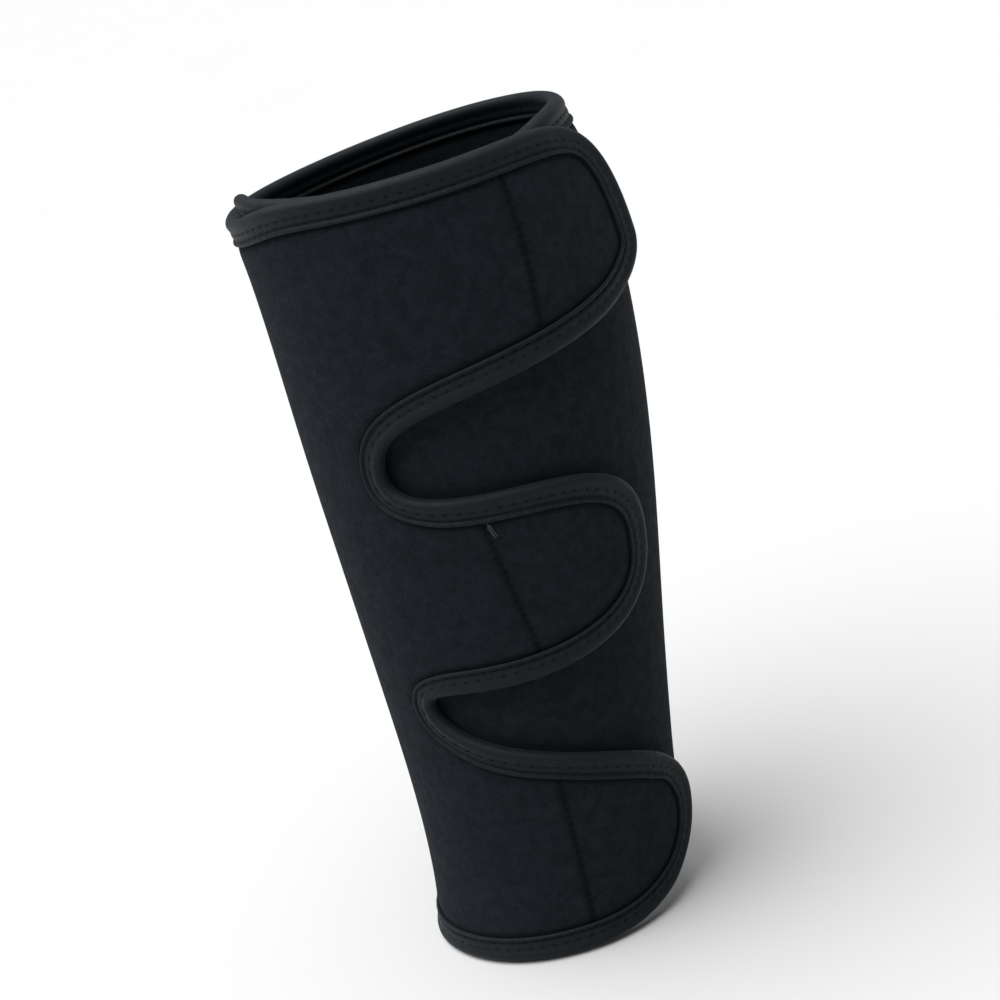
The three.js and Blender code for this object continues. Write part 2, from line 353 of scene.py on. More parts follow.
class Pattern:
    """The wrap's flat pattern and its place on the leg. A point is (degrees round the leg, height)."""

    def __init__(self, sizes):
        heights = [section.height for section in LEG]
        self.shin = np.polyfit(heights, [section.shin for section in LEG], len(LEG) - 1)
        self.calf = np.polyfit(heights, [section.calf for section in LEG], len(LEG) - 1)
        self.sizes = sizes

    def spread(self, points):
        """The leg's centre, the radius of the panel's middle and the height of each worn point."""
        around, height = points.T
        z = height + self.sizes.winding_drop * (OUTER_FRONT - around) / FULL_TURN
        shin = np.polyval(self.shin, z)
        calf = np.polyval(self.calf, z)
        climb = np.clip((around - INNER_END - FULL_TURN + CLIMB) / CLIMB, 0, 1)
        climb = climb * climb * (3 - 2 * climb)
        thickness = self.sizes.panel_thickness
        radius = (calf - shin) / 2 + thickness / 2 + (thickness + self.sizes.layer_gap) * climb
        for wave in RIPPLES:
            swing = np.sin(wave.around * around + wave.height * height + wave.phase)
            radius = radius + self.sizes.ripple * wave.share * swing
        radius = radius / np.cos(np.radians(np.maximum(around - TANGENT, 0)))
        return (shin + calf) / 2, radius, z

    def worn(self, points, lift):
        """Where points of the flat pattern lie on the leg; lift is how far out from the panel's middle."""
        centre, radius, z = self.spread(points)
        turn = np.radians(points[:, 0])
        out = radius + lift
        return np.stack([centre + out * np.cos(turn), out * np.sin(turn), z], axis=1)

    def stretch(self, points):
        """Metres along the panel for each degree round the leg."""
        return np.radians(self.spread(points)[1])

    def outward(self, points):
        """The worn panel's outward direction at each point."""
        nudge_around = np.array([0.2, 0])
        nudge_up = np.array([0, 0.0002])
        across = self.worn(points + nudge_around, 0) - self.worn(points - nudge_around, 0)
        up = self.worn(points + nudge_up, 0) - self.worn(points - nudge_up, 0)
        return unit(np.cross(across, up))

    def spaced(self, path, step, multiple=1):
        """A closed path divided into equal steps of about this true length, in a multiple of this many."""
        ring = np.vstack([path, path[:1]])
        reach = np.linalg.norm(np.diff(self.worn(ring, 0), axis=0), axis=1)
        run = np.concatenate([[0], np.cumsum(reach)])
        count = multiple * max(1, round(run[-1] / step / multiple))
        at = np.linspace(0, run[-1], count, endpoint=False)
        return np.stack([np.interp(at, run, ring[:, 0]), np.interp(at, run, ring[:, 1])], axis=1)

    def notched(self, path):
        """How sharply a closed anticlockwise path bends into a notch, from 0 to 1, evened out along it."""
        flat = path * np.stack([self.stretch(path), np.ones(len(path))], axis=1)
        step = np.median(np.linalg.norm(flat - np.roll(flat, 1, axis=0), axis=1))
        reach = max(1, round(NOTCH_REACH / step))
        behind = unit(flat - np.roll(flat, reach, axis=0))
        ahead = unit(np.roll(flat, -reach, axis=0) - flat)
        bend = behind[:, 1] * ahead[:, 0] - behind[:, 0] * ahead[:, 1]
        bend = np.clip(bend * NOTCH_RADIUS / (reach * step), 0, 1)
        return np.mean([np.roll(bend, shift) for shift in range(-reach, reach + 1)], axis=0)

    def inset(self, path, distance):
        """A closed anticlockwise path moved inwards along the worn panel, less in the notches."""
        stretch = self.stretch(path)
        ahead = np.roll(path, -1, axis=0) - np.roll(path, 1, axis=0)
        inward = unit(np.stack([-ahead[:, 1], ahead[:, 0] * stretch], axis=1))
        move = distance * (1 - NOTCH_PULL * self.notched(path))
        return path + move[:, None] * inward / np.stack([stretch, np.ones(len(path))], axis=1)

    def panel_outline(self):
        """The panel's flat outline, anticlockwise from the inner end of the lower edge."""
        high = self.sizes.panel_height
        upper = [(dip.around, high - dip.depth) for dip in UPPER_EDGE]
        end_top = upper[-1][1]
        corner, rounding = END_CORNER
        first, last = WAVE[0], WAVE[-1]
        pen = Pen((INNER_END + corner, RISE.height))
        pen.line((RISE.start, RISE.height))
        pen.curve((RISE.start + RISE.level, RISE.height),
                  (RISE.end - RISE.level, -LOWER_TILT), (RISE.end, -LOWER_TILT))
        pen.line((BOTTOM_TURN.around, LOWER_TILT))
        pen.curve((BOTTOM_TURN.around + BOTTOM_TURN.level, LOWER_TILT),
                  (first.around, first.height - first.below), (first.around, first.height))
        for start, end in zip(WAVE, WAVE[1:]):
            pen.curve((start.around, start.height + start.above),
                      (end.around, end.height - end.below), (end.around, end.height))
        pen.curve((last.around, last.height + last.above),
                  (TOP_TURN.around + TOP_TURN.level, high), (TOP_TURN.around, high))
        pen.line(upper[0])
        for (start, from_height), (end, to_height) in zip(upper, upper[1:]):
            middle = (start + end) / 2
            pen.curve((middle, from_height), (middle, to_height), (end, to_height))
        pen.corner((INNER_END, end_top), (INNER_END, end_top - rounding))
        pen.line((INNER_END, RISE.height + rounding))
        pen.corner((INNER_END, RISE.height), (INNER_END + corner, RISE.height))
        return pen.outline()


def unit(vectors):
    return vectors / np.linalg.norm(vectors, axis=1, keepdims=True)


class Pen:
    """Draws a closed flat outline in points, each run without its end."""

    def __init__(self, start):
        self.tip = np.array(start, float)
        self.runs = []

    def curve(self, leave, arrive, end):
        leave, arrive, end = (np.array(point, float) for point in (leave, arrive, end))
        t = np.linspace(0, 1, CURVE_STEPS, endpoint=False)[:, None]
        s = 1 - t
        self.runs.append(s**3 * self.tip + 3 * s**2 * t * leave + 3 * s * t**2 * arrive + t**3 * end)
        self.tip = end

    def line(self, end):
        way = np.array(end, float) - self.tip
        self.curve(self.tip + way / 3, self.tip + way * 2 / 3, end)

    def corner(self, corner, end):
        corner, end = np.array(corner, float), np.array(end, float)
        self.curve(self.tip + (corner - self.tip) * 2 / 3, end + (corner - end) * 2 / 3, end)

    def outline(self):
        return np.concatenate(self.runs)


def hook_tape_outline(tape):
    """A hook tape's flat outline: straight along its seam, round at the tongue's end."""
    pen = Pen(tape.foot)
    nose, level = tape.nose
    pen.curve((tape.foot[0] + tape.along, tape.foot[1]), (nose, level - tape.across), tape.nose)
    pen.curve((nose, level + tape.across), (tape.head[0] + tape.along, tape.head[1]), tape.head)
    pen.line(tape.foot)
    return pen.outline()


# Points and meshes of sheets


def flattened(pattern, points):
    """The pattern laid flat in metres, at the mean girth."""
    middle = np.array([[OUTER_FRONT, pattern.sizes.panel_height / 2]])
    return points * np.array([pattern.stretch(middle)[0], 1])


def inside(points, polygon):
    """True for each point that lies in the closed polygon."""
    x, y = points.T
    within = np.zeros(len(points), bool)
    for (ax, ay), (bx, by) in zip(polygon, np.roll(polygon, -1, axis=0)):
        if ay != by:
            crosses = (ay > y) != (by > y)
            within ^= crosses & (x < ax + (bx - ax) * (y - ay) / (by - ay))
    return within


def nearest(points, others):
    """The distance from each flat point to the nearest of the others."""
    tree = kdtree.KDTree(len(others))
    for number, (x, y) in enumerate(others):
        tree.insert((x, y, 0), number)
    tree.balance()
    return np.array([tree.find((x, y, 0))[2] for x, y in points])


def staggered(pattern, outline, step):
    """A staggered grid of points within an outline."""
    low, high = outline.min(axis=0), outline.max(axis=0)
    rows = []
    for number, height in enumerate(np.arange(low[1], high[1], step * math.sqrt(3) / 2)):
        stride = step / pattern.stretch(np.array([[OUTER_FRONT, height]]))[0]
        around = np.arange(low[0] + stride * (number % 2) / 2, high[0], stride)
        rows.append(np.stack([around, np.full(len(around), height)], axis=1))
    points = np.concatenate(rows)
    return points[inside(points, outline)]


def triangles(flat, rim):
    """Triangles between flat points, the first of which, as many as rim, bound them anticlockwise."""
    edges = [(i, (i + 1) % rim) for i in range(rim)]
    _, _, faces, origins, _, _ = delaunay_2d_cdt([Vector(point) for point in flat], edges, [], 1, WELD)
    return [[origins[corner][0] for corner in face] for face in faces]


def sheet_mesh(name, pattern, points, rim, upper, lower):
    """A closed worn sheet on pattern points, from one lift to another. Its UV map is the sheet laid flat."""
    flat = flattened(pattern, points)
    count = len(points)
    faces = triangles(flat, rim)
    back = [[corner + count for corner in reversed(face)] for face in faces]
    edge = [(i, i + count, (i + 1) % rim + count, (i + 1) % rim) for i in range(rim)]
    places = np.concatenate([pattern.worn(points, upper), pattern.worn(points, lower)])
    mesh = closed_mesh(name, places, faces + back + edge)
    corners = np.empty(len(mesh.loops), np.int32)
    mesh.loops.foreach_get("vertex_index", corners)
    mesh.uv_layers.new(name="flat").data.foreach_set("uv", flat[corners % count].ravel())
    return mesh


def closed_mesh(name, places, faces):
    """A smooth closed mesh with its faces turned outwards."""
    mesh = bpy.data.meshes.new(name)
    mesh.from_pydata(places.tolist(), [], faces)
    shell = bmesh.new()
    shell.from_mesh(mesh)
    if shell.calc_volume(signed=True) < 0:
        bmesh.ops.reverse_faces(shell, faces=shell.faces)
    shell.to_mesh(mesh)
    shell.free()
    mesh.shade_smooth()
    return mesh


def store(mesh, name, values):
    """Keep a number or a vector for each point of a mesh."""
    values = np.asarray(values, np.float32)
    if values.ndim == 1:
        mesh.attributes.new(name, "FLOAT", "POINT").data.foreach_set("value", values)
    else:
        mesh.attributes.new(name, "FLOAT_VECTOR", "POINT").data.foreach_set("vector", values.ravel())


def add_piece(mesh, material, slot, *nodes):
    """Put a finished mesh in the scene as a piece of the wrap that stands for these solids."""
    piece = bpy.data.objects.new(mesh.name, mesh)
    bpy.context.collection.objects.link(piece)
    if not mesh.materials:
        mesh.materials.append(material)
    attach(piece, "root")
    if nodes:
        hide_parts(*nodes)
    return piece


# The panel


def seam_rows(pattern):
    """Points in rows along each seam, with the share of the groove's depth at each."""
    points, shares = [], []
    for seam in SEAMS:
        head, foot = np.array(seam.head), np.array(seam.foot)
        middle = (head + foot)[None] / 2
        scale = np.array([pattern.stretch(middle)[0], 1])
        run = (foot - head) * scale
        reach = np.linalg.norm(run)
        aside = np.array([-run[1], run[0]]) / reach / scale
        stitches = round(reach / pattern.sizes.seam_stitch)
        along = np.linspace(0, 1, stitches * STEPS_PER_STITCH + 1)[:, None]
        pull = 1 - (1 - HOLE_SPAN) * np.sin(np.pi * stitches * along[:, 0]) ** 2
        line = head + (foot - head) * along
        for groove in SEAM_GROOVE:
            for side in ((1, -1) if groove.aside else (1,)):
                points.append(line + side * groove.aside * aside)
                shares.append(groove.share * pull)
    return np.concatenate(points), np.concatenate(shares)


def panel_points(pattern, sizes):
    """The panel's mesh points with their distance from its edge and their share of a seam's groove."""
    step = sizes.cloth_step
    fine = pattern.spaced(pattern.panel_outline(), step / EDGE_DIVISION)
    edge = flattened(pattern, fine)
    rim = pattern.spaced(fine, step)
    seams, seam_shares = seam_rows(pattern)
    seam_flat = flattened(pattern, seams)
    seam_room = nearest(seam_flat, edge)
    points, insets, shares = [rim], [np.zeros(len(rim))], [np.zeros(len(rim))]
    for hem in HEM[1:-1]:
        ring = pattern.spaced(pattern.inset(fine, hem.inset), step)
        flat = flattened(pattern, ring)
        kept = nearest(flat, edge) > hem.inset * RING_TO_EDGE
        kept &= nearest(flat, seam_flat) > step * RING_TO_SEAM
        points.append(ring[kept])
        insets.append(np.full(kept.sum(), hem.inset))
        shares.append(np.zeros(kept.sum()))
    grid = staggered(pattern, fine, step)
    flat = flattened(pattern, grid)
    room = nearest(flat, edge)
    kept = room > HEM[-2].inset + step * GRID_TO_RING
    kept &= nearest(flat, seam_flat) > step * GRID_TO_SEAM
    points += [seams, grid[kept]]
    insets += [seam_room, room[kept]]
    shares += [seam_shares, np.zeros(kept.sum())]
    return np.concatenate(points), len(rim), np.concatenate(insets), np.concatenate(shares)


def panel_mesh(pattern, sizes):
    points, rim, insets, seam_shares = panel_points(pattern, sizes)
    half = np.interp(insets, [hem.inset for hem in HEM], [hem.half for hem in HEM])
    half *= sizes.panel_thickness / 2 / HEM[-1].half
    mesh = sheet_mesh("neoprene_panel", pattern, points, rim, half - sizes.seam_depth * seam_shares, -half)
    # Painted shade, stored for the material: darker along the groove beside the tape's lip and in the seams'
    # grooves
    from_lip = insets - LIP.inset - HEM_SHADE_MIDDLE
    painted_hem_shade = np.clip(1 - np.abs(from_lip) / HEM_SHADE_REACH, 0, 1)
    pressed = np.maximum(painted_hem_shade, seam_shares)
    store(mesh, "pressed", np.concatenate([pressed, painted_hem_shade]))
    return mesh


# The binding tape and the stitches


def tape_path(pattern, sizes):
    """The panel's edge in steps that fit its zigzag."""
    return pattern.spaced(pattern.panel_outline(), sizes.tape_step, STEPS_PER_ZIGZAG)


def tape_mesh(pattern, sizes):
    """The tape folded over the panel's edge, pulled in at every needle hole; its UV map runs along it."""
    path = tape_path(pattern, sizes)
    inner_face = [point._replace(lift=-point.lift) for point in reversed(TAPE_SECTION[1:-1])]
    section = [*TAPE_SECTION, *inner_face]
    count, around = len(path), len(section)
    step = np.arange(count) % STEPS_PER_ZIGZAG
    rows, shades = [], []
    for point in section:
        pull = point.pit * (step == point.phase)
        rows.append(pattern.worn(pattern.inset(path, point.inset), point.lift - np.sign(point.lift) * pull))
        # Painted shade, stored for the material: darker between the stitch rows and in the needle holes
        shades.append(np.maximum(point.valley, pull / FIRST_ROW.pit))
    places = np.stack(rows, axis=1).reshape(-1, 3)
    i, j = (grid.ravel() for grid in np.meshgrid(np.arange(count), np.arange(around), indexing="ij"))
    corners = ((i, j), (i + 1, j), (i + 1, j + 1), (i, j + 1))
    faces = np.stack([(a % count) * around + b % around for a, b in corners], axis=1)
    mesh = closed_mesh("binding_tape", places, faces.tolist())
    ring = zip(section, section[1:] + section[:1])
    girth = [math.hypot(b.inset - a.inset, b.lift - a.lift) for a, b in ring]
    across = np.concatenate([[0], np.cumsum(girth)])
    uvs = np.stack([np.stack([a * sizes.tape_step, across[b]], axis=1) for a, b in corners], axis=1)
    first = np.empty(len(mesh.loops), np.int32)
    mesh.loops.foreach_get("vertex_index", first)
    starts = first.reshape(-1, 4)
    turned = starts[:, 0] != faces[:, 0]
    uvs[turned] = uvs[turned][:, ::-1]
    mesh.uv_layers.new(name="along").data.foreach_set("uv", uvs.ravel())
    store(mesh, "pressed", np.stack(shades, axis=1).ravel())
    return mesh


def stitch_points(name, starts, ends, outward):
    """A point for each stitch, with the way it runs and the outward direction."""
    mesh = bpy.data.meshes.new(name)
    mesh.from_pydata(((starts + ends) / 2).tolist(), [], [])
    store(mesh, "run", ends - starts)
    store(mesh, "outward", outward)
    return mesh


def zigzag_points(pattern, sizes):
    """The binding's stitches on both faces, from one row of needle holes to the other and back."""
    path = tape_path(pattern, sizes)
    starts, ends, normals = [], [], []
    first = pattern.inset(path, FIRST_ROW.inset)[FIRST_ROW.phase :: STEPS_PER_ZIGZAG]
    second = pattern.inset(path, SECOND_ROW.inset)[SECOND_ROW.phase :: STEPS_PER_ZIGZAG]
    for side in (1, -1):
        near = pattern.worn(first, side * FIRST_ROW.lift)
        far = pattern.worn(second, side * SECOND_ROW.lift)
        outward = side * pattern.outward(second)
        starts += [near, far]
        ends += [far, np.roll(near, -1, axis=0)]
        normals += [outward, outward]
    return stitch_points("binding_stitching", *(np.concatenate(x) for x in (starts, ends, normals)))


def seam_points(pattern, sizes):
    """The stitches of the straight seams, on the panel's outer face."""
    starts, ends, normals = [], [], []
    lift = sizes.panel_thickness / 2 - sizes.seam_depth
    for seam in SEAMS:
        head, foot = np.array(seam.head), np.array(seam.foot)
        reach = np.linalg.norm(np.diff(pattern.worn(np.stack([head, foot]), 0), axis=0))
        count = round(reach / sizes.seam_stitch)
        along = (np.arange(count)[:, None] + np.array(STITCH_SPAN)) / count
        begin, finish = (head + (foot - head) * along[:, [end]] for end in (0, 1))
        starts.append(pattern.worn(begin, lift))
        ends.append(pattern.worn(finish, lift))
        normals.append(pattern.outward((begin + finish) / 2))
    return stitch_points("seam_stitching", *(np.concatenate(x) for x in (starts, ends, normals)))


def thread_end_points(pattern, sizes):
    """The loose strands of the middle seam's thread, beside its head."""
    lift = sizes.panel_thickness / 2 + sizes.thread / 2
    starts = np.array([strand.head for strand in LOOSE_STRANDS])
    ends = np.array([strand.foot for strand in LOOSE_STRANDS])
    return stitch_points(
        "thread_end", pattern.worn(starts, lift), pattern.worn(ends, lift), pattern.outward(starts)
    )


# Geometry Nodes


def add_node(tree, kind, inputs=(), **settings):
    """Add a node, set its properties, then set or link its inputs, each given by name or number."""
    made = tree.nodes.new(kind)
    for name, value in settings.items():
        setattr(made, name, value)
    for key, value in dict(inputs).items():
        if isinstance(value, bpy.types.NodeSocket):
            tree.links.new(value, made.inputs[key])
        else:
            made.inputs[key].default_value = value
    return made


def new_tree(name, kind, inputs, outputs):
    """A node group with named sockets, and its input and output nodes."""
    tree = bpy.data.node_groups.new(name, kind)
    for direction, sockets in (("INPUT", inputs), ("OUTPUT", outputs)):
        for socket_name, socket_type in sockets:
            tree.interface.new_socket(socket_name, in_out=direction, socket_type="NodeSocket" + socket_type)
    return tree, add_node(tree, "NodeGroupInput").outputs, add_node(tree, "NodeGroupOutput").inputs


def place(tree, x, y, z):
    return add_node(tree, "ShaderNodeCombineXYZ", {"X": x, "Y": y, "Z": z}).outputs["Vector"]


def math_node(tree, operation, *values):
    return add_node(tree, "ShaderNodeMath", enumerate(values), operation=operation).outputs["Value"]


def attribute(tree, name, kind="FLOAT_VECTOR"):
    named = add_node(tree, "GeometryNodeInputNamedAttribute", {"Name": name}, data_type=kind)
    return named.outputs["Attribute"]


def wire(tree, spine, thickness, sides):
    """A closed tube along a curve."""
    radius = math_node(tree, "DIVIDE", thickness, 2.0)
    ring = add_node(tree, "GeometryNodeCurvePrimitiveCircle", {"Resolution": sides, "Radius": radius})
    tube = add_node(
        tree, "GeometryNodeCurveToMesh",
        {"Curve": spine, "Profile Curve": ring.outputs["Curve"], "Fill Caps": True},
    )
    smooth = add_node(tree, "GeometryNodeSetShadeSmooth", {"Geometry": tube.outputs["Mesh"]})
    return smooth.outputs["Geometry"]


def differences(tree, given):
    """A random factor for each copy, about one."""
    least = math_node(tree, "SUBTRACT", 1.0, given["Unevenness"])
    most = math_node(tree, "ADD", 1.0, given["Unevenness"])
    chance = add_node(tree, "FunctionNodeRandomValue", {2: least, 3: most, "Seed": given["Seed"]})
    return chance.outputs[1]


def end_tree(tree, geometry, given, result):
    """Make the copies real and give them their material."""
    real = add_node(tree, "GeometryNodeRealizeInstances", {"Geometry": geometry})
    finished = add_node(
        tree, "GeometryNodeSetMaterial",
        {"Geometry": real.outputs["Geometry"], "Material": given["Material"]},
    )
    tree.links.new(finished.outputs["Geometry"], result["Geometry"])


def stitch_tree():
    """An arched stitch on each point, its ends sunk into the cloth."""
    sockets = [
        ("Geometry", "Geometry"), ("Thread", "Float"), ("Sink", "Float"), ("Rise", "Float"),
        ("Unevenness", "Float"), ("Seed", "Int"), ("Material", "Material"),
    ]
    tree, given, result = new_tree("stitches", "GeometryNodeTree", sockets, sockets[:1])
    down = math_node(tree, "MULTIPLY", given["Sink"], -1.0)
    spine = add_node(tree, "GeometryNodeCurvePrimitiveBezierSegment", {
        "Resolution": WIRE_STEPS,
        "Start": place(tree, -0.5, 0.0, down),
        "Start Handle": place(tree, -STITCH_HANDLE, 0.0, given["Rise"]),
        "End Handle": place(tree, STITCH_HANDLE, 0.0, given["Rise"]),
        "End": place(tree, 0.5, 0.0, down),
    })
    run = attribute(tree, "run")
    turn = add_node(
        tree, "FunctionNodeAxesToRotation",
        {"Primary Axis": run, "Secondary Axis": attribute(tree, "outward")},
        primary_axis="X", secondary_axis="Z",
    )
    reach = add_node(tree, "ShaderNodeVectorMath", {0: run}, operation="LENGTH").outputs["Value"]
    copies = add_node(tree, "GeometryNodeInstanceOnPoints", {
        "Points": given["Geometry"],
        "Instance": wire(tree, spine.outputs["Curve"], given["Thread"], THREAD_SIDES),
        "Rotation": turn.outputs["Rotation"],
        "Scale": place(tree, reach, 1.0, differences(tree, given)),
    })
    end_tree(tree, copies.outputs["Instances"], given, result)
    return tree


def hook_tree():
    """A bent hook on each spot of a hook tape's backing."""
    sockets = [
        ("Geometry", "Geometry"), ("Height", "Float"), ("Wire", "Float"),
        ("Unevenness", "Float"), ("Seed", "Int"), ("Material", "Material"),
    ]
    tree, given, result = new_tree("hooks", "GeometryNodeTree", sockets, sockets[:1])
    high = given["Height"]
    corners = {"Resolution": WIRE_STEPS}
    for socket, bend in zip(("Start", "Start Handle", "End Handle", "End"), HOOK_BEND):
        along = math_node(tree, "MULTIPLY", high, bend.along)
        corners[socket] = place(tree, along, 0.0, math_node(tree, "MULTIPLY", high, bend.up))
    spine = add_node(tree, "GeometryNodeCurvePrimitiveBezierSegment", corners)
    turn = add_node(
        tree, "FunctionNodeAxesToRotation",
        {"Primary Axis": attribute(tree, "outward"), "Secondary Axis": attribute(tree, "row")},
        primary_axis="Z", secondary_axis="X",
    )
    copies = add_node(tree, "GeometryNodeInstanceOnPoints", {
        "Points": given["Geometry"],
        "Selection": attribute(tree, "hook_spot", "FLOAT"),
        "Instance": wire(tree, spine.outputs["Curve"], given["Wire"], HOOK_SIDES),
        "Rotation": turn.outputs["Rotation"],
        "Scale": place(tree, differences(tree, given), 1.0, differences(tree, given)),
    })
    whole = add_node(tree, "GeometryNodeJoinGeometry")
    for geometry in (given["Geometry"], copies.outputs["Instances"]):
        tree.links.new(geometry, whole.inputs["Geometry"])
    end_tree(tree, whole.outputs["Geometry"], given, result)
    return tree


def grown(mesh, tree, values):
    """The plain mesh that a tree makes of a mesh, with the tree's inputs set by name."""
    name = mesh.name
    bearer = bpy.data.objects.new(name, mesh)
    bpy.context.collection.objects.link(bearer)
    modifier = bearer.modifiers.new(tree.name, "NODES")
    modifier.node_group = tree
    for socket in tree.interface.items_tree:
        if socket.in_out == "INPUT" and socket.name in values:
            modifier[socket.identifier] = values[socket.name]
    evaluated = bearer.evaluated_get(bpy.context.evaluated_depsgraph_get())
    made = bpy.data.meshes.new_from_object(evaluated)
    bpy.data.objects.remove(bearer)
    bpy.data.meshes.remove(mesh)
    made.name = name
    if not made.polygons:
        raise RuntimeError(f"The tree {tree.name} made no faces")
    return made


# Materials


def new_material(name, **constants):
    """A material with a Principled shader whose constant sockets are set on it."""
    material = bpy.data.materials.new(name)
    material.use_nodes = True
    shader = material.node_tree.nodes["Principled BSDF"]
    for socket, value in constants.items():
        shader.inputs[socket.replace("_", " ")].default_value = value
    return material, material.node_tree, shader


def noise(tree, vector, scale, detail, roughness):
    return add_node(tree, "ShaderNodeTexNoise", {
        "Vector": vector, "Scale": scale, "Detail": detail, "Roughness": roughness,
    }).outputs["Fac"]


def remap(tree, value, low=0.0, high=1.0, to_low=0.0, to_high=1.0):
    return add_node(tree, "ShaderNodeMapRange", {
        "Value": value, "From Min": low, "From Max": high, "To Min": to_low, "To Max": to_high,
    }, interpolation_type="SMOOTHSTEP").outputs["Result"]


def scaled(ground, factor):
    """A colour made lighter or darker."""
    return tuple(min(1, factor * value) for value in ground[:3]) + (1,)


def blend(tree, factor, first, second):
    """One colour turning into another."""
    mixed = add_node(tree, "ShaderNodeMix", {0: factor, 6: first, 7: second}, data_type="RGBA")
    return mixed.outputs[2]


def nap_group():
    """Brushed fibres: a broad mottle and a fine height."""
    name = "brushed nap"
    if name in bpy.data.node_groups:
        return bpy.data.node_groups[name]
    tree, given, result = new_tree(
        name, "ShaderNodeTree",
        [("Vector", "Vector"), ("Blotch", "Float"), ("Fibre", "Float")],
        [("Mottle", "Float"), ("Height", "Float")],
    )
    blotch = math_node(tree, "DIVIDE", 1.0, given["Blotch"])
    fibre = math_node(tree, "DIVIDE", 1.0, given["Fibre"])
    broad = noise(tree, given["Vector"], blotch, detail=4.0, roughness=0.65)
    fine = noise(tree, given["Vector"], fibre, detail=3.0, roughness=0.7)
    loops = add_node(tree, "ShaderNodeTexVoronoi", {"Vector": given["Vector"], "Scale": fibre})
    rest = math_node(tree, "MULTIPLY", broad, 1 - FINE_SHARE)
    mottle = math_node(tree, "MULTIPLY_ADD", fine, FINE_SHARE, rest)
    tree.links.new(remap(tree, mottle, *MOTTLE_RANGE), result["Mottle"])
    depth = math_node(tree, "MULTIPLY", loops.outputs["Distance"], LOOP_DEPTH)
    tree.links.new(math_node(tree, "SUBTRACT", fine, depth), result["Height"])
    return tree


def lint_group():
    """Sparse flecks of lint, each in its own cell."""
    name = "lint flecks"
    if name in bpy.data.node_groups:
        return bpy.data.node_groups[name]
    tree, given, result = new_tree(
        name, "ShaderNodeTree",
        [("Vector", "Vector"), ("Spacing", "Float"), ("Size", "Float"), ("Share", "Float")],
        [("Mask", "Float")],
    )
    cells = add_node(tree, "ShaderNodeTexVoronoi", {
        "Vector": given["Vector"], "Scale": math_node(tree, "DIVIDE", 1.0, given["Spacing"]),
    })
    reach = math_node(tree, "DIVIDE", given["Size"], given["Spacing"])
    near = math_node(tree, "LESS_THAN", cells.outputs["Distance"], reach)
    chance = add_node(tree, "ShaderNodeSeparateColor", {"Color": cells.outputs["Color"]}).outputs["Red"]
    chosen = math_node(tree, "LESS_THAN", chance, given["Share"])
    tree.links.new(math_node(tree, "MULTIPLY", near, chosen), result["Mask"])
    return tree


def bumped(tree, shader, height, distance, strength):
    bump = add_node(tree, "ShaderNodeBump", {"Height": height, "Distance": distance, "Strength": strength})
    tree.links.new(bump.outputs["Normal"], shader.inputs["Normal"])


def object_place(tree):
    return add_node(tree, "ShaderNodeTexCoord").outputs["Object"]


def nap_of(tree, blotch, fibre):
    inputs = {"Vector": object_place(tree), "Blotch": blotch, "Fibre": fibre}
    return add_node(tree, "ShaderNodeGroup", inputs, node_tree=nap_group()).outputs


def lint_of(tree, spacing, size, share):
    inputs = {"Vector": object_place(tree), "Spacing": spacing, "Size": size, "Share": share}
    return add_node(tree, "ShaderNodeGroup", inputs, node_tree=lint_group()).outputs["Mask"]


def neoprene_material(colours):
    """Matt brushed loop knit, mottled, with shade painted darker where it is pulled in, and a few flecks of
    lint.
    """
    material, tree, shader = new_material(
        "brushed neoprene", Sheen_Weight=0.012, Sheen_Roughness=0.6, Sheen_Tint=(0.75, 0.85, 1, 1),
        Specular_IOR_Level=0.06,
    )
    nap = nap_of(tree, blotch=0.0045, fibre=0.0009)
    lint = lint_of(tree, spacing=0.016, size=0.0003, share=0.16)
    # Painted shade: the grooves of the hem and the seams are painted darker
    pressed = add_node(tree, "ShaderNodeAttribute", attribute_name="pressed").outputs["Fac"]
    cloth = blend(tree, nap["Mottle"], tuple(colours.neoprene), tuple(colours.nap))
    cloth = blend(tree, pressed, cloth, tuple(colours.pressed))
    tree.links.new(blend(tree, lint, cloth, tuple(colours.lint)), shader.inputs["Base Color"])
    tree.links.new(remap(tree, nap["Mottle"], to_low=0.97, to_high=0.82), shader.inputs["Roughness"])
    bumped(tree, shader, nap["Height"], distance=0.0005, strength=0.55)
    return material


def tape_material(colours):
    """Fine ribbed binding tape with a faint sheen."""
    material, tree, shader = new_material(
        "binding tape", Sheen_Weight=0.04, Sheen_Roughness=0.4, Sheen_Tint=(0.8, 0.9, 1, 1),
        Specular_IOR_Level=0.11,
    )
    nap = nap_of(tree, blotch=0.004, fibre=0.0007)
    lint = lint_of(tree, spacing=0.02, size=0.00025, share=0.1)
    along = add_node(tree, "ShaderNodeUVMap", uv_map="along").outputs["UV"]
    ribs = add_node(tree, "ShaderNodeTexWave", {
        "Vector": along, "Scale": 420.0, "Distortion": 1.2, "Detail": 2.0, "Detail Scale": 3.0,
    }, bands_direction="X").outputs["Fac"]
    # Painted shade: the hollow between the stitch rows and the needle holes are painted darker
    pressed = add_node(tree, "ShaderNodeAttribute", attribute_name="pressed").outputs["Fac"]
    rest = math_node(tree, "MULTIPLY", nap["Mottle"], 1 - RIB_SHARE)
    weave = math_node(tree, "MULTIPLY_ADD", ribs, RIB_SHARE, rest)
    cloth = blend(tree, weave, tuple(colours.tape), tuple(colours.tape_ridge))
    cloth = blend(tree, pressed, cloth, tuple(colours.pressed))
    tree.links.new(blend(tree, lint, cloth, tuple(colours.lint)), shader.inputs["Base Color"])
    tree.links.new(remap(tree, weave, to_low=0.62, to_high=0.50), shader.inputs["Roughness"])
    height = math_node(tree, "MULTIPLY_ADD", ribs, RIB_RELIEF, nap["Height"])
    bumped(tree, shader, height, distance=0.0003, strength=0.5)
    return material


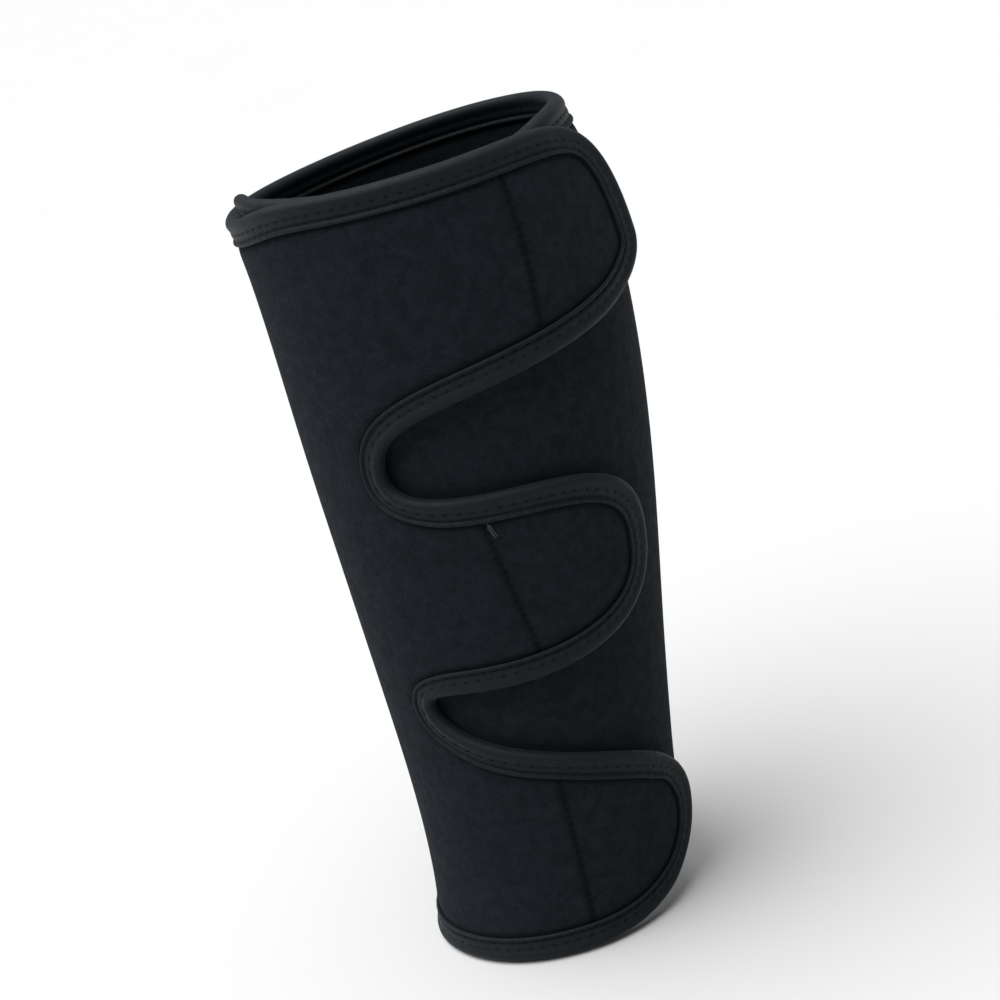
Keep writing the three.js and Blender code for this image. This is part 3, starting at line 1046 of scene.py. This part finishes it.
def mottled_material(name, ground, lighter, nap_size, roughness, relief, **constants):
    """A plain finish, mottled from its ground colour to one that is lighter by a factor."""
    material, tree, shader = new_material(name, **constants)
    nap = nap_of(tree, *nap_size)
    tips = scaled(ground, lighter)
    tree.links.new(blend(tree, nap["Mottle"], tuple(ground), tips), shader.inputs["Base Color"])
    low, high = roughness
    tree.links.new(remap(tree, nap["Mottle"], to_low=low, to_high=high), shader.inputs["Roughness"])
    bumped(tree, shader, nap["Height"], *relief)
    return material


def thread_material(name, ground):
    """Spun sewing thread."""
    return mottled_material(
        name, ground, lighter=1.6, nap_size=(0.003, 0.0003), roughness=(0.7, 0.5), relief=(0.0001, 0.5),
        Sheen_Weight=0.02, Specular_IOR_Level=0.08,
    )


def hook_material(colours):
    """Moulded black nylon with a slight gloss."""
    return mottled_material(
        "hook nylon", colours.hooks, lighter=1.7, nap_size=(0.005, 0.0006), roughness=(0.55, 0.4),
        relief=(0.0002, 0.3), Specular_IOR_Level=0.45,
    )


def floor_material(colours):
    """A pale floor with a trace of unevenness."""
    material, tree, shader = new_material("pale floor", Specular_IOR_Level=0.1)
    tone = noise(tree, object_place(tree), scale=3.0, detail=2.0, roughness=0.5)
    shade = scaled(colours.floor, factor=0.985)
    tree.links.new(blend(tree, tone, shade, tuple(colours.floor)), shader.inputs["Base Color"])
    tree.links.new(remap(tree, tone, to_low=0.9, to_high=1.0), shader.inputs["Roughness"])
    return material


# Operators


class CALFWRAP_OT_panel(bpy.types.Operator):
    """Build the neoprene panel wound round the leg"""

    bl_idname = "calf_wrap.panel"
    bl_label = "Neoprene Panel"

    def execute(self, context):
        sizes = context.scene.calf_wrap_sizes
        mesh = panel_mesh(Pattern(sizes), sizes)
        add_piece(mesh, neoprene_material(context.scene.calf_wrap_colours), "neoprene", "wrap_panel")
        return {"FINISHED"}


class CALFWRAP_OT_binding(bpy.types.Operator):
    """Build the tape folded over the panel's edge"""

    bl_idname = "calf_wrap.binding"
    bl_label = "Binding Tape"

    def execute(self, context):
        sizes = context.scene.calf_wrap_sizes
        mesh = tape_mesh(Pattern(sizes), sizes)
        add_piece(mesh, tape_material(context.scene.calf_wrap_colours), "binding_tape", "edge_binding")
        return {"FINISHED"}


class CALFWRAP_OT_stitching(bpy.types.Operator):
    """Sew the binding, the seams of the hook tapes and the loose thread end"""

    bl_idname = "calf_wrap.stitching"
    bl_label = "Stitching"

    def execute(self, context):
        sizes = context.scene.calf_wrap_sizes
        colours = context.scene.calf_wrap_colours
        pattern = Pattern(sizes)
        tree = stitch_tree()
        thread = thread_material("sewing thread", colours.thread)
        loose = thread_material("loose thread", colours.thread_end)
        sets = (
            (zigzag_points(pattern, sizes), thread, BINDING_BOW),
            (seam_points(pattern, sizes), thread, SEAM_BOW),
            (thread_end_points(pattern, sizes), loose, LOOSE_BOW),
        )
        for points, material, bow in sets:
            made = grown(points, tree, {
                "Thread": sizes.thread, "Sink": bow.sink, "Rise": bow.rise,
                "Unevenness": sizes.unevenness, "Seed": sizes.seed, "Material": material,
            })
            add_piece(made, material, "binding_tape")
        return {"FINISHED"}


class CALFWRAP_OT_hook_tapes(bpy.types.Operator):
    """Build the hook tapes sewn behind the tongues"""

    bl_idname = "calf_wrap.hook_tapes"
    bl_label = "Hook Tapes"

    def execute(self, context):
        sizes = context.scene.calf_wrap_sizes
        pattern = Pattern(sizes)
        tree = hook_tree()
        material = hook_material(context.scene.calf_wrap_colours)
        back = -sizes.panel_thickness / 2 - SEWN_GAP
        for tape in HOOK_TAPES:
            rim = pattern.spaced(hook_tape_outline(tape), sizes.hook_pitch)
            spots = staggered(pattern, pattern.inset(rim, sizes.hook_pitch), sizes.hook_pitch)
            points = np.concatenate([rim, spots])
            mesh = sheet_mesh(tape.name, pattern, points, len(rim), back, back - sizes.hook_backing)
            on_back = np.arange(2 * len(points)) >= len(points) + len(rim)
            outward = np.tile(pattern.outward(points), (2, 1))
            store(mesh, "hook_spot", on_back)
            store(mesh, "outward", -outward)
            store(mesh, "row", np.cross([0, 0, 1], outward))
            made = grown(mesh, tree, {
                "Height": sizes.hook_height, "Wire": sizes.hook_wire,
                "Unevenness": sizes.unevenness, "Seed": sizes.seed, "Material": material,
            })
            add_piece(made, material, "hook_tape", tape.node)
        return {"FINISHED"}


class CALFWRAP_OT_stage(bpy.types.Operator):
    """Set the pale floor, the soft light and the camera"""

    bl_idname = "calf_wrap.stage"
    bl_label = "Stage"

    def execute(self, context):
        stage = context.scene.calf_wrap_stage
        add_floor(floor_material(context.scene.calf_wrap_colours), CAD_BOX[0].z)
        add_light(context.scene, stage, context.scene.calf_wrap_colours.sky)
        add_camera(context.scene, stage)
        context.scene.view_settings.view_transform = "Standard"
        return {"FINISHED"}


def add_floor(material, level):
    mesh = bpy.data.meshes.new("floor")
    signs = ((-1, -1), (1, -1), (1, 1), (-1, 1))
    mesh.from_pydata([(x * FLOOR_REACH, y * FLOOR_REACH, level) for x, y in signs], [], [(0, 1, 2, 3)])
    mesh.materials.append(material)
    floor = bpy.data.objects.new("floor", mesh)
    bpy.context.collection.objects.link(floor)


def add_light(scene, stage, sky):
    world = bpy.data.worlds.new("soft studio")
    world.use_nodes = True
    world.node_tree.nodes["Background"].inputs["Color"].default_value = sky
    world.node_tree.nodes["Background"].inputs["Strength"].default_value = stage.sky
    scene.world = world
    lamp = bpy.data.lights.new("key", "SUN")
    lamp.energy = stage.key
    lamp.angle = stage.key_width
    key = bpy.data.objects.new("key", lamp)
    key.rotation_mode = "QUATERNION"
    key.rotation_quaternion = Vector(stage.key_way).to_track_quat("-Z", "Y")
    bpy.context.collection.objects.link(key)


def add_camera(scene, stage):
    lens = bpy.data.cameras.new("camera")
    lens.lens = stage.lens
    lens.shift_x, lens.shift_y = stage.shift
    camera = bpy.data.objects.new("camera", lens)
    back = Vector((0, -math.cos(stage.elevation), math.sin(stage.elevation)))
    camera.location = Vector(stage.target) + back * stage.distance
    camera.rotation_mode = "QUATERNION"
    camera.rotation_quaternion = (-back).to_track_quat("-Z", "Y") @ Quaternion((0, 0, 1), stage.roll)
    bpy.context.collection.objects.link(camera)
    scene.camera = camera


class CALFWRAP_PT_panel(bpy.types.Panel):
    """Sizes, colours and the steps that build the wrap"""

    bl_idname = "CALFWRAP_PT_panel"
    bl_label = "Calf Wrap"
    bl_space_type = "VIEW_3D"
    bl_region_type = "UI"
    bl_category = "Calf Wrap"

    def draw(self, context):
        for step in STEPS:
            self.layout.operator(step.bl_idname)
        for settings in SETTINGS:
            box = self.layout.box()
            group = getattr(context.scene, settings)
            for name in group.bl_rna.properties.keys():
                if name not in ("rna_type", "name"):
                    box.prop(group, name)


SETTINGS = {
    "calf_wrap_sizes": WrapSizes,
    "calf_wrap_colours": WrapColours,
    "calf_wrap_stage": WrapStage,
}
STEPS = (
    CALFWRAP_OT_panel,
    CALFWRAP_OT_binding,
    CALFWRAP_OT_stitching,
    CALFWRAP_OT_hook_tapes,
    CALFWRAP_OT_stage,
)
CLASSES = (*SETTINGS.values(), *STEPS, CALFWRAP_PT_panel)


def register():
    for cls in CLASSES:
        bpy.utils.register_class(cls)
    for name, group in SETTINGS.items():
        setattr(bpy.types.Scene, name, PointerProperty(type=group))


def unregister():
    for name in SETTINGS:
        delattr(bpy.types.Scene, name)
    for cls in reversed(CLASSES):
        bpy.utils.unregister_class(cls)


def declare_cloth():
    """Lists the names of the pieces sewn on the panel, and does nothing with the list."""
    sewn_on = ["binding_tape", "binding_stitching", "seam_stitching", "thread_end"]
    sewn_on += [tape.name for tape in HOOK_TAPES]


def main():
    register()
    for step in STEPS:
        family, name = step.bl_idname.split(".")
        getattr(getattr(bpy.ops, family), name)()
    declare_cloth()


if __name__ == "__main__":
    main()
